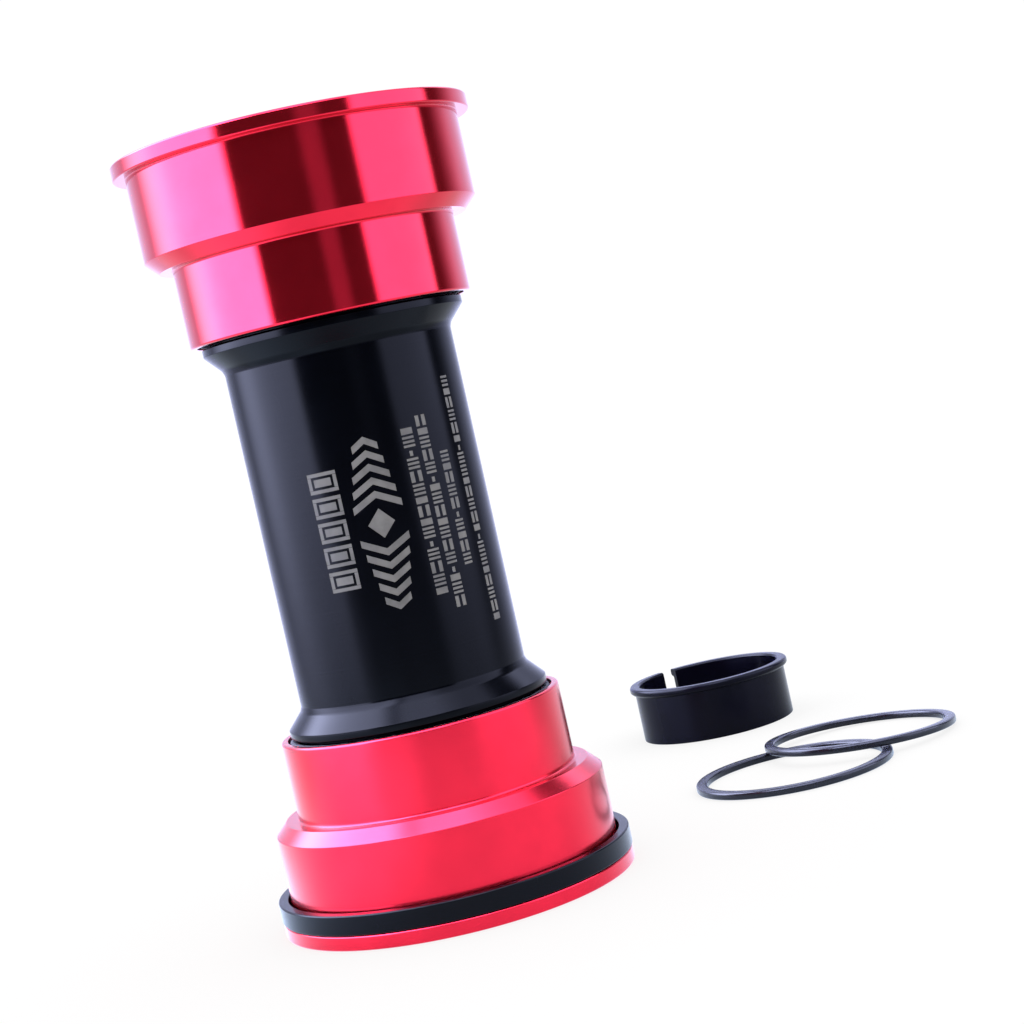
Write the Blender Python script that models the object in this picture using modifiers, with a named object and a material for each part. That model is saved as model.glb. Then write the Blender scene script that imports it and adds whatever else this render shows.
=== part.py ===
"""Thread-together press-fit bottom bracket, standing on its lower flange, with its loose small parts.

Two anodised cups carry a ball bearing each and screw onto the ends of one centre sleeve.
A loose spacer ring sits on the lower cup. A split reducer sleeve and two thin spindle
shims lie beside the bracket, on the same plane as its lower flange face.

Units are metres, +Z is up. The origin is the centre of the set's footprint, on the plane it stands on.
"""

import math

import bmesh
import bpy
from mathutils import Matrix, Vector

MM = 0.001

# ---- dimensions, in millimetres ----
# Each side of the bracket has its own frame: z = 0 on the outer flange face, +z into the bracket.
OVERALL = 95.6                    # flange face to flange face
AXIS_XY = Vector((-25.75, -33.3))  # the bracket's axis

# cup
FLANGE_R, FLANGE_T, FLANGE_CHAMFER = 22.0, 1.8, 0.25
BODY_R = 20.5                     # 41 mm press-fit body
STEP_Z, STEP_CHAMFER = 13.6, 1.5  # shoulder between body and neck
NECK_R, NECK_CHAMFER, NECK_ROOT = 17.4, 0.3, 0.25   # outside, rim chamfer, bevel at the shoulder
CUP_L = 23.3                      # outer face to neck rim
SEAT_R, SEAT_Z, SEAT_CHAMFER = 18.6, 8.7, 0.3       # bearing seat, its shoulder, its mouth
THREAD_BORE_R = 15.5              # neck, inside
ORING_POCKET_R, ORING_POCKET_Z = 16.6, 21.9
NOTCH_COUNT, NOTCH_W, NOTCH_R, NOTCH_DEPTH = 12, 3.0, 19.8, 1.2
NOTCH_START_R = SEAT_R - 1.0      # cutter's inner end, in the open seat

# bearing, 25 x 37 x 7
BEARING_Z0, BEARING_W = 1.5, 7.0
BEARING_Z1 = BEARING_Z0 + BEARING_W
BEARING_MID_Z = BEARING_Z0 + BEARING_W / 2.0
BEARING_OD_R, BEARING_ID_R = 18.5, 12.5
OUTER_LAND_R, INNER_LAND_R = 16.8, 14.2
PITCH_R = (BEARING_OD_R + BEARING_ID_R) / 2.0
BALL_COUNT, BALL_R, GROOVE_R = 15, 1.75, 1.9
SEAL_T, SEAL_OUT_R, SEAL_IN_R, SEAL_INSET = 0.4, 16.7, 14.4, 0.1
CAGE_IN_R, CAGE_OUT_R = 14.9, 16.1
CAGE_BELOW, CAGE_ABOVE = 2.6, 0.9  # from the balls' plane
POCKET_R, POCKET_CUT_L = 1.95, 4.0

# dust cap, for a 24 mm spindle
CAP_BORE_R, CAP_BORE_CHAMFER = 12.0, 0.4
CAP_TUBE_R, CAP_END_Z = 12.4, 8.3
CAP_DISC_R, CAP_DISC_CHAMFER = 18.2, 0.2
CAP_FACE_Z, CAP_DISC_T = 0.3, 0.8
CAP_SEAT_R, CAP_SEAT_Z = INNER_LAND_R - 0.2, 1.45

ORING_R, ORING_SECTION_R, ORING_Z = 15.93, 0.5, 22.72

# centre sleeve
TUBE_R, TUBE_BORE_R = 14.05, 13.0
SPIGOT_R, SPIGOT_END_Z, SPIGOT_CHAMFER = 15.25, 14.3, 0.4
LIP_R, LIP_Z, LIP_W, LIP_CHAMFER = 16.1, 23.6, 0.9, 0.1
FLARE_END_Z = LIP_Z + LIP_W + 2.6
# columns: radius beyond the tube's, distance before the flare's end
FLARE = [(0.4, 0.85), (0.1, 0.4), (0.0, 0.0)]

# spacer ring
SPACER_IN_R, SPACER_OUT_R, SPACER_T, SPACER_CHAMFER = 20.85, 22.1, 2.45, 0.15
SPACER_GAP = 0.05                 # above the lower flange

# split reducer sleeve
REDUCER_R, REDUCER_BORE_R, REDUCER_H = 12.0, 11.1, 8.8
REDUCER_CHAMFER, REDUCER_MOUTH = 0.15, 0.2   # at the bottom, at the bore's top
REDUCER_FLANGE_R, REDUCER_FLANGE_T = 12.7, 1.2
# flange edge; columns: inset from the flange radius, depth below the top
REDUCER_EDGE = [(0.4, 0.0), (0.0, 0.35), (0.0, 0.8), (0.35, 1.15)]
SLOT_W, SLOT_DEG = 2.5, 116.0
SLOT_CUT_L, SLOT_OVERRUN = 5.0, 2.0          # cutter's radial length, excess at each end
REDUCER_XY = Vector((46.0, 76.0))            # from the bracket's axis

# spindle shims
SHIM_OUT_R, SHIM_IN_R, SHIM_T = 13.6, 12.1, 1.0
SHIM_1_XY = Vector((48.0, 25.0))             # from the bracket's axis
SHIM_2_XY = Vector((60.0, 36.0))
SHIM_GAP = 0.06                   # between the two shims where one lies on the other
SHIM_LIFT = 0.02                  # leaning shim's low edge above the plane

SEG_OUT = 40                      # facets round the large turned pieces
SEG_IN = 32                       # facets round the small and inner pieces
ORING_SEG = 6                     # facets round the O-ring's section
POCKET_SEG = 12                   # facets round a ball pocket
BALL_SUBDIVISIONS = 2
SHARP_ANGLE = math.radians(30.0)
MERGE_DISTANCE = 0.01             # joins the seam of a turned piece
EMPTY_SIZE = 10.0                 # how large a frame is drawn

# ---- materials ----
RED = dict(color=(0.55, 0.01, 0.045), roughness=0.22, metallic=1.0)
BLACK = dict(color=(0.018, 0.019, 0.024), roughness=0.32, metallic=0.8)
STEEL = dict(color=(0.56, 0.57, 0.58), roughness=0.2, metallic=1.0)
CERAMIC = dict(color=(0.82, 0.82, 0.79), roughness=0.15, metallic=0.0)
NYLON = dict(color=(0.28, 0.16, 0.07), roughness=0.5, metallic=0.0)
RUBBER = dict(color=(0.015, 0.015, 0.016), roughness=0.7, metallic=0.0)
POLYMER = dict(color=(0.02, 0.02, 0.022), roughness=0.45, metallic=0.0)


def material(name, color, roughness, metallic):
    mat = bpy.data.materials.new(name)
    mat.use_nodes = True
    shader = mat.node_tree.nodes["Principled BSDF"]
    shader.inputs["Base Color"].default_value = (*color, 1.0)
    shader.inputs["Roughness"].default_value = roughness
    shader.inputs["Metallic"].default_value = metallic
    mat.diffuse_color = (*color, 1.0)
    return mat


# ---- scene ----
for existing in list(bpy.data.objects):
    bpy.data.objects.remove(existing, do_unlink=True)


def collection(name):
    made = bpy.data.collections.new(name)
    bpy.context.scene.collection.children.link(made)
    return made


model = collection("bottom_bracket")
tools = collection("bottom_bracket_cutters")


# ---- objects; locations are in millimetres ----
def metres(point):
    return tuple(value * MM for value in point)


def frame_at(name, z=0.0, offset=Vector((0.0, 0.0)), rotation=(0.0, 0.0, 0.0)):
    """An empty at an offset from the bracket's axis, to carry pieces."""
    obj = bpy.data.objects.new(name, None)
    obj.empty_display_size = EMPTY_SIZE * MM
    obj.location = metres((*(AXIS_XY + offset), z))
    obj.rotation_euler = rotation
    model.objects.link(obj)
    return obj


def place(name, mesh, look, parent, location=(0.0, 0.0, 0.0), rotation=(0.0, 0.0, 0.0)):
    """One named object on a shared or own mesh, with its own material on the object's slot."""
    obj = bpy.data.objects.new(name, mesh)
    model.objects.link(obj)
    obj.parent = parent
    obj.location = metres(location)
    obj.rotation_euler = rotation
    if not mesh.materials:
        mesh.materials.append(None)
    obj.material_slots[0].link = "OBJECT"
    obj.material_slots[0].material = material(name, **look)
    return obj


def cut(obj, name, mesh):
    """Subtract a hidden cutter that shares the object's parent and location."""
    tool = bpy.data.objects.new(name, mesh)
    tools.objects.link(tool)
    tool.parent = obj.parent
    tool.location = obj.location
    tool.hide_render = True
    tool.display_type = "WIRE"
    boolean = obj.modifiers.new("Cut_" + name, "BOOLEAN")
    boolean.operation = "DIFFERENCE"
    boolean.solver = "EXACT"
    boolean.object = tool


# ---- mesh makers ----
def turned(name, profile, segments):
    """A closed profile of (radius, height) points turned about Z: outer side first, top to bottom."""
    count = len(profile)
    mesh = bpy.data.meshes.new(name + "_profile")
    mesh.from_pydata([(r * MM, 0.0, z * MM) for r, z in profile],
                     [(i, (i + 1) % count) for i in range(count)], [])
    blank = bpy.data.objects.new(name + "_blank", mesh)
    model.objects.link(blank)
    screw = blank.modifiers.new("Turn", "SCREW")
    screw.axis = "Z"
    screw.angle = 2.0 * math.pi
    screw.steps = segments
    screw.render_steps = segments
    screw.use_merge_vertices = True
    screw.merge_threshold = MERGE_DISTANCE * MM
    bpy.context.view_layer.update()
    depsgraph = bpy.context.evaluated_depsgraph_get()
    solid = bpy.data.meshes.new_from_object(blank.evaluated_get(depsgraph))
    bpy.data.objects.remove(blank, do_unlink=True)
    solid.name = name
    solid.shade_smooth()
    solid.set_sharp_from_angle(angle=SHARP_ANGLE)
    return solid


def primitive(name, add, **settings):
    """The smooth mesh of a primitive operator, without its object."""
    add(**settings)
    blank = bpy.context.object
    mesh = blank.data
    mesh.name = name
    mesh.shade_smooth()
    bpy.data.objects.remove(blank, do_unlink=True)
    return mesh


def cutter_mesh(name, add, matrices, **settings):
    """One mesh of the same bmesh primitive under each matrix."""
    mesh = bpy.data.meshes.new(name)
    bm = bmesh.new()
    for matrix in matrices:
        add(bm, matrix=matrix, **settings)
    bm.to_mesh(mesh)
    bm.free()
    return mesh


def about_axis(angle, radius, z=0.0):
    """Moves a shape out to a radius and height, then turns it about Z."""
    return Matrix.Rotation(angle, 4, "Z") @ Matrix.Translation(metres((radius, 0.0, z)))


def box_scale(x, y, z):
    return Matrix.Diagonal((*metres((x, y, z)), 1.0))


# ---- cup ----
def cup_mesh():
    return turned("cup", [
        (NECK_R - NECK_CHAMFER, CUP_L), (NECK_R, CUP_L - NECK_CHAMFER),
        (NECK_R, STEP_Z + NECK_ROOT), (NECK_R + NECK_ROOT, STEP_Z),
        (BODY_R - STEP_CHAMFER, STEP_Z), (BODY_R, STEP_Z - STEP_CHAMFER),
        (BODY_R, FLANGE_T), (FLANGE_R - FLANGE_CHAMFER, FLANGE_T),
        (FLANGE_R, FLANGE_T - FLANGE_CHAMFER),
        (FLANGE_R, FLANGE_CHAMFER), (FLANGE_R - FLANGE_CHAMFER, 0.0),
        (SEAT_R + SEAT_CHAMFER, 0.0), (SEAT_R, SEAT_CHAMFER), (SEAT_R, SEAT_Z),
        (THREAD_BORE_R, SEAT_Z), (THREAD_BORE_R, ORING_POCKET_Z),
        (ORING_POCKET_R, ORING_POCKET_Z), (ORING_POCKET_R, CUP_L),
    ], SEG_OUT)


def notch_mesh():
    """Tool notches, from the bearing seat outwards, in the flange's outer face."""
    size = box_scale(NOTCH_R - NOTCH_START_R, NOTCH_W, 2.0 * NOTCH_DEPTH)
    middle_r = 0.5 * (NOTCH_R + NOTCH_START_R)
    return cutter_mesh("notch_cutter", bmesh.ops.create_cube, [
        about_axis(2.0 * math.pi * (i + 0.5) / NOTCH_COUNT, middle_r) @ size
        for i in range(NOTCH_COUNT)], size=1.0)


# ---- bearing ----
def groove(race_side, land_r):
    """The ball groove, low z to high z, at five angles; race_side is 1 outside the balls, else -1."""
    half = math.acos(abs(land_r - PITCH_R) / GROOVE_R)
    return [(PITCH_R + race_side * GROOVE_R * math.cos(half * k / 2.0),
             BEARING_MID_Z + GROOVE_R * math.sin(half * k / 2.0)) for k in (-2, -1, 0, 1, 2)]


def outer_race_mesh():
    return turned("outer_race", [
        (BEARING_OD_R, BEARING_Z1), (BEARING_OD_R, BEARING_Z0), (OUTER_LAND_R, BEARING_Z0),
        *groove(1.0, OUTER_LAND_R), (OUTER_LAND_R, BEARING_Z1),
    ], SEG_IN)


def inner_race_mesh():
    return turned("inner_race", [
        (INNER_LAND_R, BEARING_Z1), *reversed(groove(-1.0, INNER_LAND_R)),
        (INNER_LAND_R, BEARING_Z0), (BEARING_ID_R, BEARING_Z0), (BEARING_ID_R, BEARING_Z1),
    ], SEG_IN)


def flat_ring_mesh(name, out_r, in_r, top, bottom=0.0):
    """A ring of rectangular section: seal, ball cage or shim."""
    return turned(name, [(out_r, top), (out_r, bottom), (in_r, bottom), (in_r, top)], SEG_IN)


def pocket_mesh():
    """One pocket for each ball, bored radially through the cage."""
    lay = Matrix.Rotation(math.pi / 2.0, 4, "Y")
    return cutter_mesh("pocket_cutter", bmesh.ops.create_cone, [
        about_axis(2.0 * math.pi * i / BALL_COUNT, PITCH_R) @ lay for i in range(BALL_COUNT)
    ], cap_ends=True, segments=POCKET_SEG, radius1=POCKET_R * MM, radius2=POCKET_R * MM,
        depth=POCKET_CUT_L * MM)


# ---- dust cap ----
def dust_cap_mesh():
    disc_z1 = CAP_FACE_Z + CAP_DISC_T
    return turned("dust_cap", [
        (CAP_TUBE_R, CAP_END_Z), (CAP_TUBE_R, CAP_SEAT_Z), (CAP_SEAT_R, CAP_SEAT_Z),
        (CAP_SEAT_R, disc_z1), (CAP_DISC_R, disc_z1),
        (CAP_DISC_R, CAP_FACE_Z + CAP_DISC_CHAMFER), (CAP_DISC_R - CAP_DISC_CHAMFER, CAP_FACE_Z),
        (CAP_BORE_R + CAP_BORE_CHAMFER, CAP_FACE_Z), (CAP_BORE_R, CAP_FACE_Z + CAP_BORE_CHAMFER),
        (CAP_BORE_R, CAP_END_Z),
    ], SEG_IN)


# ---- the two cups with their bearings ----
def build_sides(frames):
    cup_solid, notches = cup_mesh(), notch_mesh()
    cage_solid = flat_ring_mesh("ball_cage", CAGE_OUT_R, CAGE_IN_R, CAGE_ABOVE, -CAGE_BELOW)
    pockets = pocket_mesh()
    ball = primitive("ball", bpy.ops.mesh.primitive_ico_sphere_add,
                     subdivisions=BALL_SUBDIVISIONS, radius=BALL_R * MM)
    seal = flat_ring_mesh("seal", SEAL_OUT_R, SEAL_IN_R, SEAL_T)
    o_ring = primitive("o_ring", bpy.ops.mesh.primitive_torus_add,
                       major_segments=SEG_IN, minor_segments=ORING_SEG,
                       major_radius=ORING_R * MM, minor_radius=ORING_SECTION_R * MM)
    # columns: name, mesh, look, z
    plain_parts = [
        ("bearing_outer_race", outer_race_mesh(), STEEL, 0.0),
        ("bearing_inner_race", inner_race_mesh(), STEEL, 0.0),
        ("outer_seal", seal, RUBBER, BEARING_Z0 + SEAL_INSET),
        ("inner_seal", seal, RUBBER, BEARING_Z1 - SEAL_INSET - SEAL_T),
        ("dust_cap", dust_cap_mesh(), POLYMER, 0.0),
        ("o_ring", o_ring, RUBBER, ORING_Z),
    ]
    for side, frame in frames.items():
        cup = place(side + "_cup", cup_solid, RED, frame)
        cut(cup, side + "_notch_cutter", notches)
        cage = place(side + "_ball_cage", cage_solid, NYLON, frame, (0.0, 0.0, BEARING_MID_Z))
        cut(cage, side + "_pocket_cutter", pockets)
        for i in range(BALL_COUNT):
            turn = 2.0 * math.pi * i / BALL_COUNT
            place(f"{side}_ball_{i + 1:02d}", ball, CERAMIC, frame,
                  (PITCH_R * math.cos(turn), PITCH_R * math.sin(turn), BEARING_MID_Z))
        for name, mesh, look, z in plain_parts:
            place(f"{side}_{name}", mesh, look, frame, (0.0, 0.0, z))


# ---- centre sleeve: a tube with a flare, a lip and a threaded spigot at each end ----
def build_centre_sleeve(frame):
    half = [
        (SPIGOT_R - SPIGOT_CHAMFER, SPIGOT_END_Z), (SPIGOT_R, SPIGOT_END_Z + SPIGOT_CHAMFER),
        (SPIGOT_R, LIP_Z), (LIP_R - LIP_CHAMFER, LIP_Z), (LIP_R, LIP_Z + LIP_CHAMFER),
        (LIP_R, LIP_Z + LIP_W),
        *[(TUBE_R + extra, FLARE_END_Z - before) for extra, before in FLARE],
    ]
    mesh = turned("centre_sleeve", [
        *[(r, OVERALL - z) for r, z in half], *reversed(half),
        (TUBE_BORE_R, SPIGOT_END_Z), (TUBE_BORE_R, OVERALL - SPIGOT_END_Z),
    ], SEG_OUT)
    place("centre_sleeve", mesh, BLACK, frame)


# ---- loose spacer ring, just above the lower flange ----
def build_spacer(frame):
    z0 = FLANGE_T + SPACER_GAP
    z1 = z0 + SPACER_T
    bevel = SPACER_CHAMFER
    mesh = turned("spacer_ring", [
        (SPACER_OUT_R - bevel, z1), (SPACER_OUT_R, z1 - bevel),
        (SPACER_OUT_R, z0 + bevel), (SPACER_OUT_R - bevel, z0),
        (SPACER_IN_R + bevel, z0), (SPACER_IN_R, z0 + bevel),
        (SPACER_IN_R, z1 - bevel), (SPACER_IN_R + bevel, z1),
    ], SEG_OUT)
    place("spacer_ring", mesh, BLACK, frame)


# ---- split reducer sleeve, flange up ----
def build_reducer():
    mesh = turned("reducer_sleeve", [
        *[(REDUCER_FLANGE_R - inset, REDUCER_H - depth) for inset, depth in REDUCER_EDGE],
        (REDUCER_R, REDUCER_H - REDUCER_FLANGE_T),
        (REDUCER_R, REDUCER_CHAMFER), (REDUCER_R - REDUCER_CHAMFER, 0.0),
        (REDUCER_BORE_R + REDUCER_CHAMFER, 0.0), (REDUCER_BORE_R, REDUCER_CHAMFER),
        (REDUCER_BORE_R, REDUCER_H - REDUCER_MOUTH), (REDUCER_BORE_R + REDUCER_MOUTH, REDUCER_H),
    ], SEG_OUT)
    slot = cutter_mesh("reducer_slot_cutter", bmesh.ops.create_cube, [
        about_axis(math.radians(SLOT_DEG), REDUCER_R, 0.5 * REDUCER_H)
        @ box_scale(SLOT_CUT_L, SLOT_W, REDUCER_H + 2.0 * SLOT_OVERRUN)], size=1.0)
    frame = frame_at("reducer_place", offset=REDUCER_XY)
    cut(place("reducer_sleeve", mesh, BLACK, frame), "reducer_slot_cutter", slot)


# ---- two thin spindle shims: the first lies flat, the second leans on it ----
def build_shims():
    mesh = flat_ring_mesh("shim_ring", SHIM_OUT_R, SHIM_IN_R, SHIM_T)
    place("shim_ring_1", mesh, BLACK, frame_at("shim_1_place", offset=SHIM_1_XY))

    # the lean clears the flat shim where its outer edge crosses the leaning shim's bore
    offset = (SHIM_2_XY - SHIM_1_XY).to_3d()
    apart = offset.length
    cross_x = (SHIM_OUT_R ** 2 - SHIM_IN_R ** 2 + apart ** 2) / (2.0 * apart)
    lean = math.atan((SHIM_T + SHIM_GAP) / (SHIM_OUT_R + apart - cross_x))
    lean_axis = Vector((0.0, 0.0, 1.0)).cross(offset.normalized())
    frame = frame_at("shim_2_place", SHIM_OUT_R * math.sin(lean) + SHIM_LIFT, SHIM_2_XY)
    place("shim_ring_2", mesh, BLACK, frame,
          rotation=Matrix.Rotation(lean, 3, lean_axis).to_euler())


lower_frame = frame_at("lower_side")
upper_frame = frame_at("upper_side", OVERALL, rotation=(math.pi, 0.0, 0.0))
build_sides({"lower": lower_frame, "upper": upper_frame})
build_centre_sleeve(lower_frame)
build_spacer(lower_frame)
build_reducer()
build_shims()
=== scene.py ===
"""A threaded bottom bracket with its spacer ring, split reducer sleeve and two shim rings.

The bracket stands on the floor (z = 0) with its axis upright: the lower cup's flange is on the
floor and the upper cup is the same shape turned over. The camera looks along +Y.
Outlines are (radius, height) in mm; meshes are in metres.
"""
import math

import bmesh
import bpy
from mathutils import Matrix, Vector


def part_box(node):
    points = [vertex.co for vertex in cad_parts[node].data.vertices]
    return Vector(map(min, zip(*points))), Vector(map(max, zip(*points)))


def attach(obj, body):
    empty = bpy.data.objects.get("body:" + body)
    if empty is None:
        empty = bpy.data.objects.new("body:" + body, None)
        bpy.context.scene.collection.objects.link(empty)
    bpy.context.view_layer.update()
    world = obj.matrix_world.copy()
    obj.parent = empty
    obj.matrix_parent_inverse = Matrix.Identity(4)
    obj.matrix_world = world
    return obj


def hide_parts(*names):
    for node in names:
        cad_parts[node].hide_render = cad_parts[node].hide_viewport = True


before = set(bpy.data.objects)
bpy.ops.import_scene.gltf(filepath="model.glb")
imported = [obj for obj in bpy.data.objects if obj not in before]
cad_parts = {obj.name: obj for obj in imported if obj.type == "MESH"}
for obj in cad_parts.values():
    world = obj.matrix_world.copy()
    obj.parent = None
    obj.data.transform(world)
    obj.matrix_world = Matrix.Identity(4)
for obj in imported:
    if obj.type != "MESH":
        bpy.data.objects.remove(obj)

MM = 0.001
TAU = 2.0 * math.pi
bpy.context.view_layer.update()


def middle(low, high):
    """The x and y of a box's middle."""
    return (low[0] + high[0]) / 2.0, (low[1] + high[1]) / 2.0


# ------------------------------------------------------------------ places from the frame
AXIS_X, AXIS_Y = middle(*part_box("lower_cup"))
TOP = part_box("upper_cup")[1][2]       # upper flange face
HEIGHT = TOP / MM
LOWER = Matrix.Translation((AXIS_X, AXIS_Y, 0.0))
UPPER = Matrix.Translation((AXIS_X, AXIS_Y, TOP)) @ Matrix.Rotation(math.pi, 4, "X")
SIDES = (("lower", LOWER), ("upper", UPPER))

collection = bpy.data.collections.new("visual")
bpy.context.scene.collection.children.link(collection)


# ------------------------------------------------------------------ node helpers
class Nodes:
    """Short ways to add and wire nodes. A node given as a value stands for its first output."""

    def __init__(self, tree):
        self.tree = tree

    def plug(self, value, socket):
        if isinstance(value, bpy.types.Node):
            value = value.outputs[0]
        if isinstance(value, bpy.types.NodeSocket):
            self.tree.links.new(value, socket)
        else:
            socket.default_value = value

    def fill(self, node, *values, **named):
        """Sets inputs in order, then by name, with _ for a space."""
        for k, value in enumerate(values):
            self.plug(value, node.inputs[k])
        for name, value in named.items():
            self.plug(value, node.inputs[name.replace("_", " ")])

    def add(self, kind, *values, settings={}, **named):
        node = self.tree.nodes.new("ShaderNode" + kind)
        for key, value in settings.items():
            setattr(node, key, value)
        self.fill(node, *values, **named)
        return node

    def math(self, operation, *values):
        return self.add("Math", *values, settings={"operation": operation})

    def radius(self, x, y):
        return self.math("SQRT", self.math("ADD", self.math("MULTIPLY", x, x),
                                           self.math("MULTIPLY", y, y)))

    def noise(self, where, scale, detail=2.0, roughness=0.5):
        return self.add("TexNoise", Vector=where, Scale=scale, Detail=detail, Roughness=roughness)

    def smooth(self, value, span, to=(0.0, 1.0)):
        """Goes smoothly from one level to another as the value crosses the span."""
        return self.add("MapRange", Value=value, From_Min=span[0], From_Max=span[1],
                        To_Min=to[0], To_Max=to[1],
                        settings={"interpolation_type": "SMOOTHSTEP"})

    def mix(self, factor, base, other, kind="RGBA", blend="MIX"):
        node = self.add("Mix", factor, settings={"data_type": kind, "blend_type": blend})
        first_input, output = (6, 2) if kind == "RGBA" else (2, 0)
        self.plug(base, node.inputs[first_input])
        self.plug(other, node.inputs[first_input + 1])
        return node.outputs[output]

    def mottled(self, color, cloud, vary):
        """The colour, made lighter and darker by the cloud noise."""
        shade = self.smooth(cloud, span=(0.3, 0.7), to=(1.0 - vary, 1.0 + vary))
        grey = self.add("CombineColor", shade, shade, shade)
        return self.mix(1.0, (*color, 1.0), grey, blend="MULTIPLY")


def base_material(name):
    material = bpy.data.materials.new(name)
    material.use_nodes = True
    tree = material.node_tree
    return material, Nodes(tree), tree.nodes["Principled BSDF"]


def turned_coordinates(nodes, centre, stretch):
    """Object coordinates stretched so that noise on them runs round the axis, like lathe marks."""
    where = nodes.add("TexCoord").outputs["Object"]
    split = nodes.add("SeparateXYZ", where)
    x = nodes.math("SUBTRACT", split.outputs[0], centre[0])
    y = nodes.math("SUBTRACT", split.outputs[1], centre[1])
    radius = nodes.radius(x, y)
    turn = nodes.math("ARCTAN2", y, x)
    drift = 0.9                       # how far the marks wander in one turn
    ring = nodes.add("CombineXYZ",
                     nodes.math("MULTIPLY", radius, stretch),
                     nodes.math("MULTIPLY", nodes.math("SINE", turn), drift),
                     nodes.math("MULTIPLY", split.outputs[2], stretch))
    return ring, where


def anodised(name, color, roughness, centre=(AXIS_X, AXIS_Y), spec=0.5, metallic=1.0,
             marks=0.25, mark_size=9000.0, vary=0.04):
    """Turned surface: fine lathe marks round the axis, a slightly mottled colour, faint pits."""
    material, nodes, shader = base_material(name)
    ring, where = turned_coordinates(nodes, centre, mark_size)
    lines = nodes.noise(ring, scale=1.0, detail=3.0, roughness=0.6)
    cloud = nodes.noise(where, scale=240.0, detail=4.0, roughness=0.55)
    grain = nodes.noise(where, scale=14000.0)
    tint = nodes.mottled(color, cloud, vary)
    # shares of the roughness that follow the lathe marks (either way) and the cloud
    line_swing, cloud_share = 0.18, 0.3
    rough = nodes.math("ADD", roughness * (1.0 - line_swing),
                       nodes.math("MULTIPLY", lines, roughness * 2.0 * line_swing))
    centred = nodes.math("SUBTRACT", cloud, 0.5)
    rough = nodes.math("ADD", rough, nodes.math("MULTIPLY", centred, roughness * cloud_share))
    line_height, grain_height = 1.0, 0.5
    height = nodes.math("ADD", nodes.math("MULTIPLY", lines, line_height),
                        nodes.math("MULTIPLY", grain, grain_height))
    bump = nodes.add("Bump", Strength=marks, Distance=0.000012, Height=height)
    nodes.fill(shader, Base_Color=tint, Metallic=metallic, Specular_IOR_Level=spec,
               Roughness=rough, Normal=bump, Coat_Roughness=0.08)
    return material


def moulded(name, color, roughness, scale=5000.0, strength=0.3, spec=0.5, vary=0.1):
    """A moulded or ground surface: fine even grain, slightly uneven sheen."""
    material, nodes, shader = base_material(name)
    where = nodes.add("TexCoord").outputs["Object"]
    grain = nodes.noise(where, scale=scale, detail=3.0)
    cloud = nodes.noise(where, scale=400.0, detail=3.0)
    tint = nodes.mottled(color, cloud, vary)
    rough = nodes.smooth(cloud, span=(0.25, 0.75), to=(roughness * 0.85, roughness * 1.15))
    bump = nodes.add("Bump", Strength=strength, Distance=0.01 * MM, Height=grain)
    nodes.fill(shader, Base_Color=tint, Roughness=rough, Specular_IOR_Level=spec, Normal=bump)
    return material


# ------------------------------------------------------------------ shape helpers
def rounded(corners, steps=5):
    """Corners (radius, height, fillet) of a closed outline, each given an arc of its fillet."""
    points = []
    for i, (radius, z, fillet) in enumerate(corners):
        here = Vector((radius, z))
        before = Vector(corners[i - 1][:2]) - here
        after = Vector(corners[(i + 1) % len(corners)][:2]) - here
        if fillet <= 0.0:
            points.append((radius, z))
            continue
        back, ahead = before.normalized(), after.normalized()
        opening = back.angle(ahead)
        if math.pi - opening < 0.01:
            points.append((radius, z))
            continue
        # a short side limits the fillet
        reach = min(fillet / math.tan(opening / 2.0), before.length * 0.49, after.length * 0.49)
        bend = reach * math.tan(opening / 2.0)
        centre = here + (back + ahead).normalized() * (bend / math.sin(opening / 2.0))
        start, end = here + back * reach - centre, here + ahead * reach - centre
        sweep = math.atan2(start.x * end.y - start.y * end.x, start.dot(end))
        for k in range(steps + 1):
            turn = sweep * k / steps
            points.append((centre.x + start.x * math.cos(turn) - start.y * math.sin(turn),
                           centre.y + start.x * math.sin(turn) + start.y * math.cos(turn)))
    return points


THREAD_PITCH, THREAD_DEPTH = 1.0, 0.5
ROW_STEP = 0.125                      # spacing of the points that carry a thread
THREAD_FADE = 0.8                     # length over which a thread runs out at each end


def rows(radius, start, end):
    """Points along a straight wall, without its ends, close enough together for a thread."""
    count = max(2, int(round(abs(end - start) / ROW_STEP)))
    return [(radius, start + (end - start) * k / count) for k in range(1, count)]


def thread(bottom, top, wall, sign=1.0):
    """A right-handed thread on the wall's radius; sign is +1 on an outside, -1 in a bore."""
    def radial(radius, z, turn):
        if abs(radius - wall) > 0.02 or not bottom < z < top:
            return radius
        phase = (z / THREAD_PITCH - turn / TAU) % 1.0
        # flat crests and roots with sloping flanks between
        tooth = min(1.0, max(0.0, abs(phase - 0.5) * 2.6 - 0.15))
        fade = min(1.0, (z - bottom) / THREAD_FADE, (top - z) / THREAD_FADE)
        return radius - sign * THREAD_DEPTH * tooth * fade
    return radial


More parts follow.
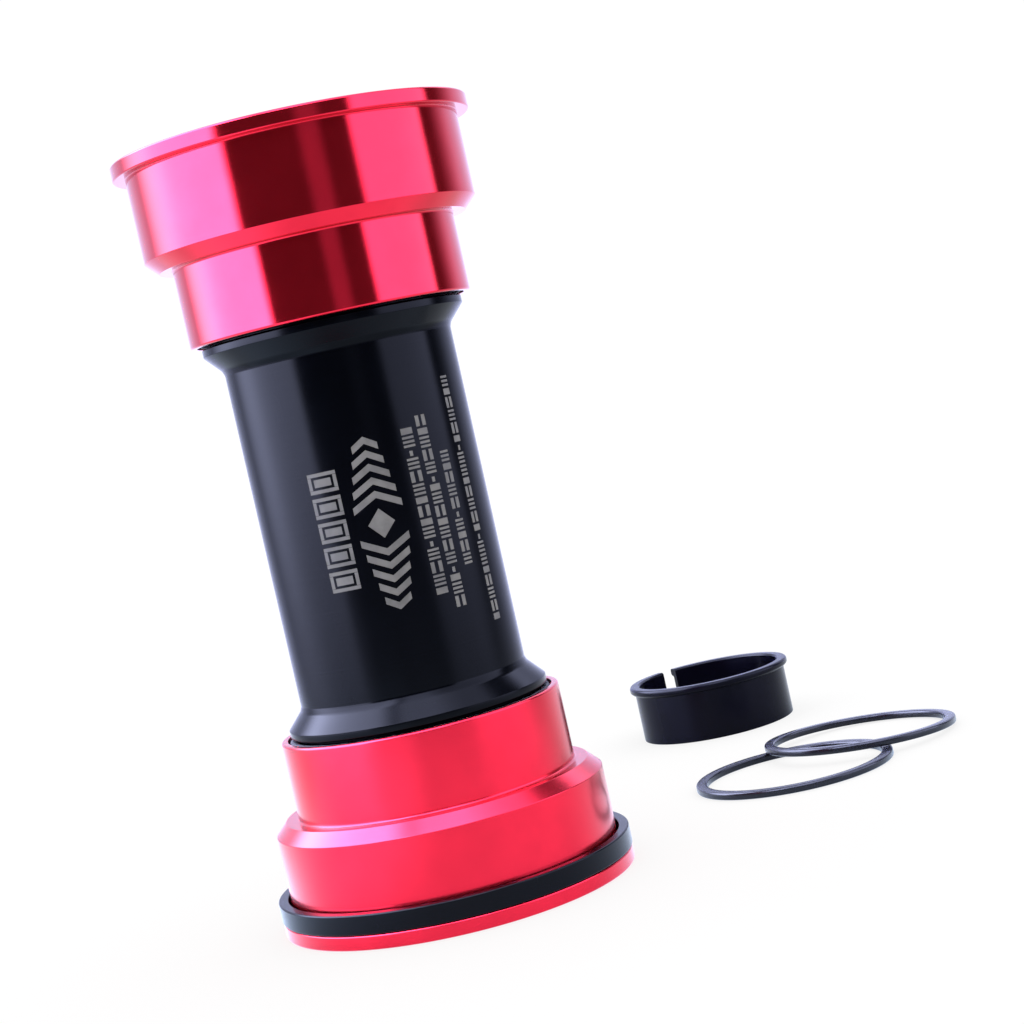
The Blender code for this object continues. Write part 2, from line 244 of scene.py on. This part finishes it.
def lathe(name, outline, segments, radial=None, start=0.0, sweep=TAU):
    """Turns a closed outline (mm) about Z into one closed body; a part turn gets flat ends."""
    whole = abs(sweep - TAU) < 1e-6
    area = sum(one[0] * two[1] - two[0] * one[1]
               for one, two in zip(outline, outline[1:] + outline[:1]))
    if area > 0:
        outline = outline[::-1]
    rings = segments if whole else segments + 1
    count = len(outline)
    verts, faces = [], []
    for j in range(rings):
        turn = start + sweep * j / segments
        for radius, z in outline:
            if radial:
                radius = radial(radius, z, turn)
            verts.append((radius * math.cos(turn) * MM, radius * math.sin(turn) * MM, z * MM))
    for j in range(segments):
        k = (j + 1) % rings
        for i in range(count):
            m = (i + 1) % count
            faces.append((j * count + i, j * count + m, k * count + m, k * count + i))
    if not whole:
        faces.append(tuple(range(count))[::-1])
        faces.append(tuple((rings - 1) * count + i for i in range(count)))
    mesh = bpy.data.meshes.new(name)
    mesh.from_pydata(verts, [], faces)
    body = bmesh.new()
    body.from_mesh(mesh)
    if not whole:
        bmesh.ops.triangulate(body, faces=[face for face in body.faces if len(face.verts) > 4])
    bmesh.ops.recalc_face_normals(body, faces=body.faces)
    body.to_mesh(mesh)
    body.free()
    return mesh


def mesh_from(body, name):
    """Turns a bmesh into a mesh and frees it."""
    mesh = bpy.data.meshes.new(name)
    body.to_mesh(mesh)
    body.free()
    return mesh


def link_object(name, mesh):
    obj = bpy.data.objects.new(name, mesh)
    collection.objects.link(obj)
    return obj


def piece(name, mesh, body, material, replaces=None, weighted=True):
    obj = link_object(name, mesh)
    mesh.materials.clear()
    mesh.materials.append(material)
    if weighted:
        soft = obj.modifiers.new("Weighted", "WEIGHTED_NORMAL")
        soft.keep_sharp = True
        soft.weight = 100
    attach(obj, body)
    if replaces:
        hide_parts(replaces)


def baked(mesh, matrix):
    """A copy in the frame's own coordinates, so procedural marks follow the bracket's axis."""
    copy = mesh.copy()
    copy.transform(matrix)
    return copy


def turned_piece(name, mesh, matrix, body, material, replaces):
    """A piece placed by the matrix, smooth with its sharp edges kept."""
    made = baked(mesh, matrix)
    made.shade_smooth()
    made.set_sharp_from_angle(angle=math.radians(32.0))
    piece(name, made, body, material, replaces)


def apply_cut(mesh, tool):
    """Cuts one mesh from another and returns the result as a mesh."""
    target, cutter = link_object("cut_a", mesh), link_object("cut_b", tool)
    cut = target.modifiers.new("cut", "BOOLEAN")
    cut.operation, cut.solver, cut.object = "DIFFERENCE", "EXACT", cutter
    bpy.context.view_layer.update()
    evaluated = target.evaluated_get(bpy.context.evaluated_depsgraph_get())
    result = bpy.data.meshes.new_from_object(evaluated)
    for obj in (target, cutter):
        bpy.data.objects.remove(obj, do_unlink=True)
    return result


# ------------------------------------------------------------------ materials
RED = {"spec": 0.05, "metallic": 0.82}
BLACK = {"metallic": 0.0, "vary": 0.12}
RED_UP = anodised("upper_red_anodised", color=(0.54, 0.0140, 0.0275), roughness=0.085,
                  marks=0.22, **RED)
RED_LOW = anodised("lower_red_anodised", color=(0.54, 0.0145, 0.029), roughness=0.20,
                   marks=0.10, **RED)
BLACK_TUBE = anodised("sleeve_black_anodised", color=(0.0009, 0.0012, 0.0023), roughness=0.17,
                      spec=0.044, marks=0.3, **BLACK)
BLACK_RING = anodised("ring_black_anodised", color=(0.0015, 0.0015, 0.0030), roughness=0.20,
                      spec=0.065, marks=0.3, **BLACK)
ETCH = moulded("laser_etched_marks", color=(0.15, 0.145, 0.137), roughness=0.6, scale=26000.0,
               strength=0.4, spec=0.2, vary=0.2)
STEEL = anodised("bearing_steel", color=(0.56, 0.57, 0.58), roughness=0.2, marks=0.3,
                 mark_size=14000.0)
CERAMIC = moulded("ceramic_ball", color=(0.8, 0.8, 0.77), roughness=0.12, strength=0.05,
                  vary=0.02)
NYLON = moulded("nylon_cage", color=(0.26, 0.15, 0.06), roughness=0.5)
RUBBER = moulded("seal_rubber", color=(0.013, 0.013, 0.014), roughness=0.62, scale=9000.0,
                 spec=0.3)
POLYMER = anodised("dust_cap_polymer", color=(0.012, 0.012, 0.014), roughness=0.42, spec=0.12,
                   metallic=0.0, marks=0.5, mark_size=5000.0)

# ------------------------------------------------------------------ cups
SEAT_R, BORE_R = 18.6, 15.42
NOTCHES, NOTCH_R = 12, 18.7           # notches in the flange, on a circle
NOTCH_SIZE = (2.2, 3.0, 2.4)          # radial, round the rim, upright
NOTCH_CORNER = 0.4

cup_outline = rounded([
    (16.6, 23.3, 0.06), (17.4, 23.3, 0.28), (17.4, 13.6, 0.28), (19.0, 13.6, 0.12),
    (20.5, 12.1, 0.12), (20.5, 1.8, 0.14), (22.0, 1.8, 0.22), (22.0, 0.0, 0.28),
    (18.9, 0.0, 0.08), (SEAT_R, 0.3, 0.05), (SEAT_R, 8.7, 0.1), (BORE_R, 8.7, 0.25)])
# the bore's wall runs up from the bearing shoulder to the O-ring's pocket, with rows for the thread
cup_outline += rows(BORE_R, 9.2, 21.7)
cup_outline += rounded([(BORE_R, 9.2, 0.0), (BORE_R, 21.9, 0.12), (16.6, 21.9, 0.1),
                        (16.6, 23.3, 0.0)])[1:-1]
cup_blank = lathe("cup", cup_outline, 192, thread(9.4, 21.6, BORE_R, sign=-1.0))

notches = bmesh.new()
for i in range(NOTCHES):
    turn = Matrix.Rotation(TAU * (i + 0.5) / NOTCHES, 4, "Z")
    size = Matrix.Diagonal([side * MM for side in NOTCH_SIZE] + [1.0])
    made = bmesh.ops.create_cube(
        notches, size=1.0, matrix=turn @ Matrix.Translation((NOTCH_R * MM, 0, 0)) @ size)
    edges = {edge for vert in made["verts"] for edge in vert.link_edges}
    upright_edges = [edge for edge in edges
                     if abs((edge.verts[0].co - edge.verts[1].co).z) > 1.0 * MM]
    bmesh.ops.bevel(notches, geom=upright_edges, offset=NOTCH_CORNER * MM, segments=4,
                    affect="EDGES", profile=0.5)
cup_mesh = apply_cut(cup_blank, mesh_from(notches, "notch_tool"))

for (side, where), material in zip(SIDES, (RED_LOW, RED_UP)):
    turned_piece(side + "_cup_shell", cup_mesh, where, side + "_cup", material,
                 side + "_cup")

# ------------------------------------------------------------------ bearings
BALLS, BALL_R = 15, 1.75
PITCH_R, BALL_Z = 15.5, 5.0           # circle of the balls' centres, and its height
GROOVE_R, POCKET_R = 1.9, 1.86
RACE_BOTTOM, RACE_TOP = BALL_Z - 3.5, BALL_Z + 3.5
OUTER_LAND, INNER_LAND = 16.8, 14.2   # race walls on either side of the groove
ORING_R, ORING_Z, CORD_R = 15.93, 22.72, 0.5


def groove(side, land, steps=14):
    """The ball groove from one edge of the land to the other; side is +1 outer, -1 inner."""
    half = math.acos(abs(land - PITCH_R) / GROOVE_R)
    return [(PITCH_R + side * GROOVE_R * math.cos(half * k / steps),
             BALL_Z + GROOVE_R * math.sin(half * k / steps)) for k in range(-steps, steps + 1)]


def race(land, back):
    """A race's corners, from its land round its back wall."""
    return rounded([(land, RACE_TOP, 0.08), (back, RACE_TOP, 0.3),
                    (back, RACE_BOTTOM, 0.3), (land, RACE_BOTTOM, 0.08)])


outer_race = race(OUTER_LAND, 18.5) + groove(1.0, OUTER_LAND)
inner_race = rounded([
    (INNER_LAND, RACE_BOTTOM, 0.08), (12.5, RACE_BOTTOM, 0.3),
    (12.5, RACE_TOP, 0.3), (INNER_LAND, RACE_TOP, 0.08)]) + groove(-1.0, INNER_LAND)[::-1]
seal = rounded([
    (14.4, 0.0, 0.05), (14.4, 0.4, 0.05), (14.75, 0.4, 0.03), (14.9, 0.28, 0.03),
    (15.2, 0.28, 0.03), (15.35, 0.4, 0.03), (16.7, 0.4, 0.1), (16.7, 0.0, 0.1),
    (15.35, 0.0, 0.03), (15.2, 0.12, 0.03), (14.9, 0.12, 0.03), (14.75, 0.0, 0.03)], 2)
dust_cap = rounded([
    (12.4, 8.3, 0.12), (12.4, 1.45, 0.05), (14.0, 1.45, 0.05), (14.0, 1.1, 0.05),
    (18.2, 1.1, 0.1), (18.2, 0.3, 0.3), (17.1, 0.3, 0.06), (16.95, 0.42, 0.04),
    (16.3, 0.42, 0.04), (16.15, 0.3, 0.06), (12.9, 0.3, 0.25), (12.0, 0.75, 0.25),
    (12.0, 8.3, 0.12)], 4)
# heights from the balls' centres
cage = rounded([(14.9, -2.6, 0.12), (14.9, 0.9, 0.12), (16.1, 0.9, 0.12), (16.1, -2.6, 0.12)], 3)
oring = [(ORING_R + CORD_R * math.cos(TAU * k / 20), ORING_Z + CORD_R * math.sin(TAU * k / 20))
         for k in range(20)]

pockets = bmesh.new()
for i in range(BALLS):
    turn = Matrix.Rotation(TAU * i / BALLS, 4, "Z")
    bmesh.ops.create_cone(
        pockets, cap_ends=True, segments=40, radius1=POCKET_R * MM, radius2=POCKET_R * MM,
        depth=4 * MM, matrix=turn @ Matrix.Translation((PITCH_R * MM, 0, 0))
        @ Matrix.Rotation(math.pi / 2, 4, "Y"))
cage_mesh = apply_cut(lathe("cage", cage, 180), mesh_from(pockets, "pocket_tool"))
ball = bmesh.new()
bmesh.ops.create_icosphere(ball, subdivisions=4, radius=BALL_R * MM)
ball_mesh = mesh_from(ball, "ball")
seal_mesh = lathe("seal", seal, 144)

# label, mesh, replaced node, body it rides on, slot, material, lift in mm
BEARING_PARTS = (
    ("outer_race_ring", lathe("outer_race", outer_race, 160), "bearing_outer_race", "cup",
     "bearing_steel", STEEL, 0.0),
    ("inner_race_ring", lathe("inner_race", inner_race, 160), "bearing_inner_race",
     "bearing_inner", "bearing_steel", STEEL, 0.0),
    ("outer_shield", seal_mesh, "outer_seal", "cup", "seal_rubber", RUBBER, 1.6),
    ("inner_shield", seal_mesh, "inner_seal", "cup", "seal_rubber", RUBBER, 8.0),
    ("crown_cage", cage_mesh, "ball_cage", "ball_set", "cage_polymer", NYLON, BALL_Z),
    ("dust_cap_shell", lathe("dust_cap", dust_cap, 176), "dust_cap", "bearing_inner",
     "black_polymer", POLYMER, 0.0),
    ("o_ring_cord", lathe("o_ring", oring, 160), "o_ring", "o_ring", "seal_rubber", RUBBER, 0.0),
)
for side, where in SIDES:
    for label, mesh, node, body, slot, material, lift in BEARING_PARTS:
        turned_piece(f"{side}_{label}", mesh, where @ Matrix.Translation((0, 0, lift * MM)),
                     f"{side}_{body}", material, f"{side}_{node}")
    for i in range(BALLS):
        turn = TAU * i / BALLS
        made = baked(ball_mesh, where @ Matrix.Translation(
            (PITCH_R * MM * math.cos(turn), PITCH_R * MM * math.sin(turn), BALL_Z * MM)))
        made.shade_smooth()
        piece(f"{side}_bearing_ball_{i + 1:02d}", made, side + "_ball_set",
              CERAMIC, f"{side}_ball_{i + 1:02d}", weighted=False)

# ------------------------------------------------------------------ centre sleeve
SPIGOT_R, TUBE_R, TUBE_IN = 15.25, 14.05, 13.0
SPIGOT_BOTTOM, SPIGOT_TOP = 15.1, 22.1
THREAD_BOTTOM, THREAD_TOP = 14.6, 22.0
SLEEVE_MID = 47.8                     # guides the outline's direction; not a point of it

half_outline = rounded([
    (TUBE_IN, SLEEVE_MID, 0.0), (TUBE_IN, 14.3, 0.25), (14.85, 14.3, 0.1),
    (SPIGOT_R, 14.7, 0.08), (SPIGOT_R, SPIGOT_BOTTOM, 0.0)])[1:]
half_outline += rows(SPIGOT_R, SPIGOT_BOTTOM, SPIGOT_TOP)
half_outline += rounded([
    (SPIGOT_R, SPIGOT_TOP, 0.0), (SPIGOT_R, 23.6, 0.2), (16.1, 23.6, 0.12), (16.1, 24.5, 0.1),
    (14.28, 26.5, 1.1), (TUBE_R, 27.15, 0.9), (TUBE_R, SLEEVE_MID, 0.0)], 6)[:-1]
sleeve_outline = half_outline + [(radius, HEIGHT - z) for radius, z in reversed(half_outline)]
lower_thread = thread(THREAD_BOTTOM, THREAD_TOP, SPIGOT_R)
upper_thread = thread(HEIGHT - THREAD_TOP, HEIGHT - THREAD_BOTTOM, SPIGOT_R)


def both_threads(radius, z, turn):
    return upper_thread(lower_thread(radius, z, turn), z, turn)


turned_piece("centre_sleeve_tube", lathe("sleeve", sleeve_outline, 224, both_threads), LOWER,
             "centre_sleeve", BLACK_TUBE, "centre_sleeve")

# ------------------------------------------------------------------ etched marks
# Thin plates on the tube's wall, drawn flat as (arc mm to the right, height mm), then wrapped.
FRONT = -math.pi / 2.0                # the side that faces the camera
PROUD, SUNK = 0.012, 0.03             # plate faces above and below the wall
BLOCKS, BLOCK_Z, BLOCK_PITCH = 5, 40.6, 2.94
BLOCK_LEFT, BLOCK_RIGHT, BLOCK_HEIGHT, BLOCK_WALL = -7.1, -3.5, 2.4, 0.42
DIAMOND_X, DIAMOND_Z = 0.5, 47.5      # middle of the diamond
DIAMOND_WIDE, DIAMOND_TALL = 1.6, 1.75  # half its width and height
CHEVRONS, CHEVRON_START, CHEVRON_PITCH, CHEVRON_WIDTH = 5, 1.5, 1.75, 0.85
# heights of the four column marks, and the space above each:
# 0 a solid block, 1 three strokes across, 2 two strokes along, 3 a short dash
MARK_HEIGHT = (0.75, 1.25, 1.3, 0.6)
MARK_SPACE = (0.28, 0.28, 0.28, 0.45)
# left, right, bottom, top, repeating order of marks
COLUMNS = (
    (5.1, 6.6, 37.8, 58.0, (0, 1, 2, 1, 3, 1, 0, 2)),
    (7.3, 8.7, 35.8, 59.2, (2, 1, 0, 3, 1, 2, 1, 0)),
    (9.8, 11.1, 40.4, 54.8, (1, 2, 0, 1, 3, 2)),
    (12.8, 14.1, 33.0, 63.2, (0, 2, 1, 2, 0, 1, 1, 3)),
)
marks = bmesh.new()


def plate(outline):
    """A flat outline as a thin closed plate."""
    upper = [marks.verts.new((x, z, PROUD)) for x, z in outline]
    under = [marks.verts.new((x, z, -SUNK)) for x, z in outline]
    marks.faces.new(upper)
    marks.faces.new(under[::-1])
    for i in range(len(outline)):
        m = (i + 1) % len(outline)
        marks.faces.new((upper[m], upper[i], under[i], under[m]))


def bar(left, right, bottom, top):
    plate([(left, bottom), (right, bottom), (right, top), (left, top)])


def chevron(left, right, z, rise, width):
    """A chevron that points up, or down when rise and width are negative."""
    mid = (left + right) / 2.0
    plate([(left, z), (mid, z + rise), (right, z),
           (right, z + width), (mid, z + rise + width), (left, z + width)])


def frame_block(left, right, bottom, top, wall):
    """An open rectangular frame with a solid core, as five closed plates."""
    gap, inset = 0.04, 1.75 * wall
    bar(left, right, bottom, bottom + wall)
    bar(left, right, top - wall, top)
    bar(left, left + wall, bottom + wall + gap, top - wall - gap)
    bar(right - wall, right, bottom + wall + gap, top - wall - gap)
    bar(left + inset, right - inset, bottom + inset, top - inset)


def column_mark(kind, left, right, bottom, top):
    if kind == 0:
        bar(left, right, bottom, top)
    elif kind == 1:
        for j in range(3):
            bar(left, right, bottom + j * 0.5, bottom + j * 0.5 + 0.27)
    elif kind == 2:
        bar(left, left + 0.5, bottom, top)
        bar(right - 0.5, right, bottom, top)
    else:
        mid = (left + right) / 2.0
        bar(mid - 0.2, mid + 0.2, bottom, top)


# framed blocks, one above the other
for k in range(BLOCKS):
    bottom = BLOCK_Z + k * BLOCK_PITCH
    frame_block(BLOCK_LEFT, BLOCK_RIGHT, bottom, bottom + BLOCK_HEIGHT, BLOCK_WALL)
# chevrons that point away from a diamond, up and down, smaller with distance
for k in range(CHEVRONS):
    reach, rise = 2.9 - 0.34 * k, 1.5 - 0.14 * k
    for way in (1, -1):
        chevron(DIAMOND_X - reach, DIAMOND_X + reach,
                DIAMOND_Z + way * (CHEVRON_START + k * CHEVRON_PITCH),
                way * rise, way * CHEVRON_WIDTH)
plate([(DIAMOND_X, DIAMOND_Z - DIAMOND_TALL), (DIAMOND_X + DIAMOND_WIDE, DIAMOND_Z),
       (DIAMOND_X, DIAMOND_Z + DIAMOND_TALL), (DIAMOND_X - DIAMOND_WIDE, DIAMOND_Z)])
for left, right, bottom, column_top, order in COLUMNS:
    z, k = bottom, 0
    while z < column_top - 0.5:
        kind = order[k % len(order)]
        mark_top = min(z + MARK_HEIGHT[kind], column_top)
        column_mark(kind, left, right, z, mark_top)
        z = mark_top + MARK_SPACE[kind]
        k += 1
# split every plate into upright strips, then wrap them all round the wall
for k in range(-18, 35):
    bmesh.ops.bisect_plane(marks, geom=marks.verts[:] + marks.edges[:] + marks.faces[:],
                           dist=1e-6, plane_co=(k * 0.4 + 0.05, 0.0, 0.0),
                           plane_no=(1.0, 0.0, 0.0))
for vert in marks.verts:
    turn = FRONT + vert.co.x / TUBE_R
    radius = (TUBE_R + vert.co.z) * MM
    vert.co = (AXIS_X + radius * math.cos(turn), AXIS_Y + radius * math.sin(turn), vert.co.y * MM)
bmesh.ops.recalc_face_normals(marks, faces=marks.faces)
piece("etched_marks", mesh_from(marks, "etched_marks"), "centre_sleeve", ETCH,
      weighted=False)

# ------------------------------------------------------------------ spacer ring
low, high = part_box("spacer_ring")
bottom, top = low[2] / MM, high[2] / MM
spacer = rounded([(20.85, bottom, 0.12), (20.85, top, 0.16), (22.1, top, 0.2),
                  (22.1, bottom, 0.2)])
turned_piece("spacer_ring_body", lathe("spacer", spacer, 224), LOWER, "spacer_ring",
             BLACK_RING, "spacer_ring")

# ------------------------------------------------------------------ split reducer sleeve
SLOT_TURN = math.radians(116.0)       # where the slot is, round the sleeve from +X
SLOT_HALF = 1.25 / 11.9               # half the slot's angle: half its width over a radius

low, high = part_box("reducer_sleeve")
reducer_centre = middle(low, high)
top = high[2] / MM
reducer = rounded([
    (11.1, 0.0, 0.12), (11.1, top - 0.25, 0.1), (11.35, top, 0.12), (12.5, top, 0.3),
    (12.7, top - 0.3, 0.3), (12.7, top - 0.85, 0.3), (12.4, top - 1.15, 0.2),
    (12.0, top - 1.25, 0.12), (12.0, 0.0, 0.12)])
reducer_mesh = lathe("reducer", reducer, 200, start=SLOT_TURN + SLOT_HALF,
                     sweep=TAU - 2.0 * SLOT_HALF)
reducer_black = anodised("reducer_black_anodised", color=(0.0021, 0.0020, 0.0062),
                         roughness=0.23, centre=reducer_centre, spec=0.058, marks=0.35, **BLACK)
turned_piece("reducer_sleeve_body", reducer_mesh, Matrix.Translation((*reducer_centre, 0.0)),
             "reducer_sleeve", reducer_black, "reducer_sleeve")

# ------------------------------------------------------------------ shim rings
# The first lies flat; the second leans on its edge.
SHIM_WALL = 1.5
LEAN_GAP, FLOOR_GAP = 0.06, 0.02      # clearance to the flat ring and to the floor
ORIGIN_SHIFT = 0.5                    # from the box's middle to the leaning ring's lower face

flat_box, leaning_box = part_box("shim_ring_1"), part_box("shim_ring_2")
low, high = flat_box
shim_r, shim_height = (high[0] - low[0]) / 2.0 / MM, (high[2] - low[2]) / MM
shim_in = shim_r - SHIM_WALL
shim = rounded([(shim_in, 0.0, 0.22), (shim_in, shim_height, 0.3), (shim_r, shim_height, 0.3),
                (shim_r, 0.0, 0.22)])
shim_mesh = lathe("shim", shim, 176)
flat_at = Vector((*middle(*flat_box), 0.0))
leaning_at = Vector((*middle(*leaning_box), 0.0))
apart = leaning_at - flat_at
distance = apart.length / MM
# from the flat ring's middle to the line where its outer circle crosses the other's bore
crossing = (shim_r ** 2 - shim_in ** 2 + distance * distance) / (2.0 * distance)
lean = math.atan((shim_height + LEAN_GAP) / (shim_r + distance - crossing))
lean_axis = Vector((0, 0, 1)).cross(apart.normalized())
leaning_at.z = (shim_r * math.sin(lean) + FLOOR_GAP) * MM
leaning_at -= apart.normalized() * (ORIGIN_SHIFT * math.sin(lean) * MM)
for k, at in ((1, Matrix.Translation(flat_at)),
              (2, Matrix.Translation(leaning_at) @ Matrix.Rotation(lean, 4, lean_axis))):
    material = anodised(f"shim_{k}_black_anodised", color=(0.0045, 0.0045, 0.0085),
                        roughness=0.24, centre=at.translation, spec=0.22, marks=0.35, **BLACK)
    turned_piece(f"shim_ring_{k}_body", shim_mesh, at, f"shim_ring_{k}", material,
                 f"shim_ring_{k}")

# ------------------------------------------------------------------ floor
WHITE = (1.0, 1.0, 1.0, 1.0)


def floor_paper():
    """White paper lit like a light table: almost white to the eye, brighter in reflections."""
    material, nodes, shader = base_material("floor_paper")
    where = nodes.add("TexCoord").outputs["Object"]
    x, y, _ = nodes.add("SeparateXYZ", where).outputs
    radius = nodes.radius(x, y)
    seen_from = nodes.add("NewGeometry").outputs["Incoming"]
    # fades out with distance, and is not there at all when looked at from below
    fade = nodes.smooth(radius, span=(0.16, 0.26))
    below = nodes.math("LESS_THAN", nodes.add("SeparateXYZ", seen_from).outputs[2], 0.0)
    edge = nodes.math("MAXIMUM", fade, below)
    paper = nodes.noise(where, scale=900.0)
    tint = nodes.mix(paper, base=(0.93, 0.93, 0.94, 1.0), other=(0.96, 0.96, 0.965, 1.0))
    nodes.fill(shader, Base_Color=tint, Roughness=0.9, Specular_IOR_Level=0.0)
    rays = nodes.add("LightPath").outputs
    glow = nodes.add("Emission", Color=WHITE, Strength=1.02)
    # reflections of the floor are brighter to the left and towards the camera
    glow_level = nodes.math("MULTIPLY", nodes.smooth(x, span=(-0.050, -0.005), to=(2.5, 1.15)),
                            nodes.smooth(y, span=(0.0, 0.060), to=(1.0, 0.35)))
    extra = nodes.add("Emission", Color=(0.72, 1.0, 1.5, 1.0),
                      Strength=nodes.math("MULTIPLY", rays["Is Glossy Ray"], glow_level))
    glow_share = 0.78                 # how much of the floor seen by the camera is glow
    table = nodes.add("MixShader", nodes.math("MULTIPLY", rays["Is Camera Ray"], glow_share),
                      shader, glow)
    lit = nodes.add("AddShader", table, extra)
    clear = nodes.add("BsdfTransparent")
    blend = nodes.add("MixShader", edge, lit, clear)
    nodes.fill(nodes.tree.nodes["Material Output"], Surface=blend)
    return material


floor = bmesh.new()
bmesh.ops.create_circle(floor, cap_ends=True, segments=96, radius=0.6)
floor_obj = link_object("floor", mesh_from(floor, "floor"))
floor_obj.location = (AXIS_X, AXIS_Y, -0.05 * MM)
floor_obj.data.materials.append(floor_paper())

# ------------------------------------------------------------------ studio
# Soft boxes are bands of the world, seen only in reflections.
# Each: start, softness of that edge, stop, softness of that edge, level.
UPRIGHT_BOXES = (                     # by azimuth in degrees
    (-116.0, 36.0, -46.5, 8.0, 18.0),  # large box on the left
    (6.0, 8.0, 20.0, 8.0, 0.45),      # faint streak between the boxes
    (41.0, 6.0, 98.0, 7.0, 6.0),      # smaller box on the right
)
# below the camera's height the same boxes are seen past the floor, dimmer and softer
LOW_BOXES = ((-110.0, 50.0, -42.0, 30.0, 4.6), (45.0, 25.0, 90.0, 20.0, 2.3))
# overhead, by x: a wide panel above and a weaker one to the right
PANELS = ((-0.22, 0.15, 0.28, 0.3, 12.0), (0.30, 0.2, 1.1, 0.1, 5.0))
DARK_GAP = (102.0, 10.0, 127.0, 8.0, 1.0)  # in the panels, behind on the right, by azimuth
GAP_DEPTH = 0.97                      # share of the panels' light the gap takes away
BACK_PANEL = 1.7                      # level of the panels behind the set
DAYLIGHT = (0.93, 1.0, 1.48)          # one cool colour for every box


def soft_box(nodes, angle, start, start_soft, stop, stop_soft, level):
    rise = nodes.smooth(angle, (start - start_soft / 2.0, start + start_soft / 2.0), (0.0, level))
    fall = nodes.smooth(angle, (stop - stop_soft / 2.0, stop + stop_soft / 2.0), (1.0, 0.0))
    return nodes.math("MULTIPLY", rise, fall)


def with_boxes(nodes, level, angle, boxes):
    """The level with every box added to it."""
    for box in [soft_box(nodes, angle, *box) for box in boxes]:
        level = nodes.math("ADD", level, box)
    return level


def studio_level(nodes):
    """Brightness of the studio in each direction."""
    direction = nodes.add("TexCoord").outputs["Generated"]
    x, y, z = nodes.add("SeparateXYZ", direction).outputs
    # degrees from the side that faces the camera, positive to the camera's right
    degrees = 180.0 / math.pi
    azimuth = nodes.math("ARCTAN2", x, nodes.math("MULTIPLY", y, -1.0))
    azimuth = nodes.math("MULTIPLY", azimuth, degrees)
    height = nodes.math("MULTIPLY", nodes.math("ARCSINE", z), degrees)
    around = nodes.math("ABSOLUTE", azimuth)
    # pale walls behind the set
    walls = nodes.smooth(around, span=(105.0, 135.0), to=(0.03, 1.3))
    upright = with_boxes(nodes, walls, azimuth, UPRIGHT_BOXES)
    low_walls = nodes.smooth(around, span=(90.0, 150.0), to=(1.0, 1.5))
    low_level = with_boxes(nodes, low_walls, azimuth, LOW_BOXES)
    # a bright panel overhead to the left
    left_panel = nodes.smooth(x, span=(-0.42, -0.20), to=(24.0, 0.0))
    panels = with_boxes(nodes, left_panel, x, PANELS)
    gap = nodes.math("MULTIPLY", soft_box(nodes, azimuth, *DARK_GAP),
                     nodes.smooth(height, span=(58.0, 68.0), to=(1.0, 0.0)))
    kept = nodes.math("SUBTRACT", 1.0, nodes.math("MULTIPLY", gap, GAP_DEPTH))
    panels = nodes.math("MULTIPLY", panels, kept)
    back = nodes.smooth(around, span=(126.0, 150.0))
    panels = nodes.mix(back, panels, BACK_PANEL, kind="FLOAT")
    above_floor = nodes.smooth(height, span=(-7.0, 2.0))
    level = nodes.mix(above_floor, low_level, upright, kind="FLOAT")
    overhead = nodes.smooth(height, span=(14.0, 32.0))
    return nodes.mix(overhead, level, panels, kind="FLOAT")


world = bpy.data.worlds.new("studio")
bpy.context.scene.world = world
world.use_nodes = True
world.cycles.sampling_method = "NONE"
world.node_tree.nodes.clear()
nodes = Nodes(world.node_tree)
reflected = nodes.add("VectorMath", DAYLIGHT, Scale=studio_level(nodes),
                      settings={"operation": "SCALE"})
rays = nodes.add("LightPath").outputs
plain = nodes.add("Background", Color=WHITE, Strength=1.08)
seen = nodes.add("Background", Color=WHITE, Strength=1.02)
bands = nodes.add("Background", Color=reflected, Strength=1.0)
# reflections count only before the first diffuse bounce
direct = nodes.math("LESS_THAN", rays["Diffuse Depth"], 0.5)
mirrored = nodes.math("MULTIPLY", rays["Is Glossy Ray"], direct)
lighting = nodes.add("MixShader", mirrored, plain, bands)
surface = nodes.add("MixShader", rays["Is Camera Ray"], lighting, seen)
nodes.add("OutputWorld", Surface=surface)

# ------------------------------------------------------------------ camera
YAW, PITCH, ROLL = (math.radians(angle) for angle in (3.502, -3.121, -12.619))
CAMERA_DISTANCE, CAMERA_HEIGHT = 268.9, 59.32

forward = Vector((math.sin(YAW) * math.cos(PITCH), math.cos(YAW) * math.cos(PITCH),
                  math.sin(PITCH)))
right = Vector((math.cos(YAW), -math.sin(YAW), 0.0))
up = right.cross(forward)
turned_right = math.cos(ROLL) * right + math.sin(ROLL) * up
turned_up = -math.sin(ROLL) * right + math.cos(ROLL) * up
camera = bpy.data.cameras.new("camera")
camera.sensor_width = 36.0
camera.lens = 77.02453125
camera.clip_start, camera.clip_end = 0.01, 10.0
camera_obj = link_object("camera", camera)
place = Matrix((turned_right, turned_up, -forward)).transposed().to_4x4()
place.translation = (AXIS_X, AXIS_Y - CAMERA_DISTANCE * MM, CAMERA_HEIGHT * MM)
camera_obj.matrix_world = place

scene = bpy.context.scene
scene.camera = camera_obj
scene.view_settings.view_transform = "Standard"
scene.view_settings.look = "None"

bpy.context.view_layer.update()
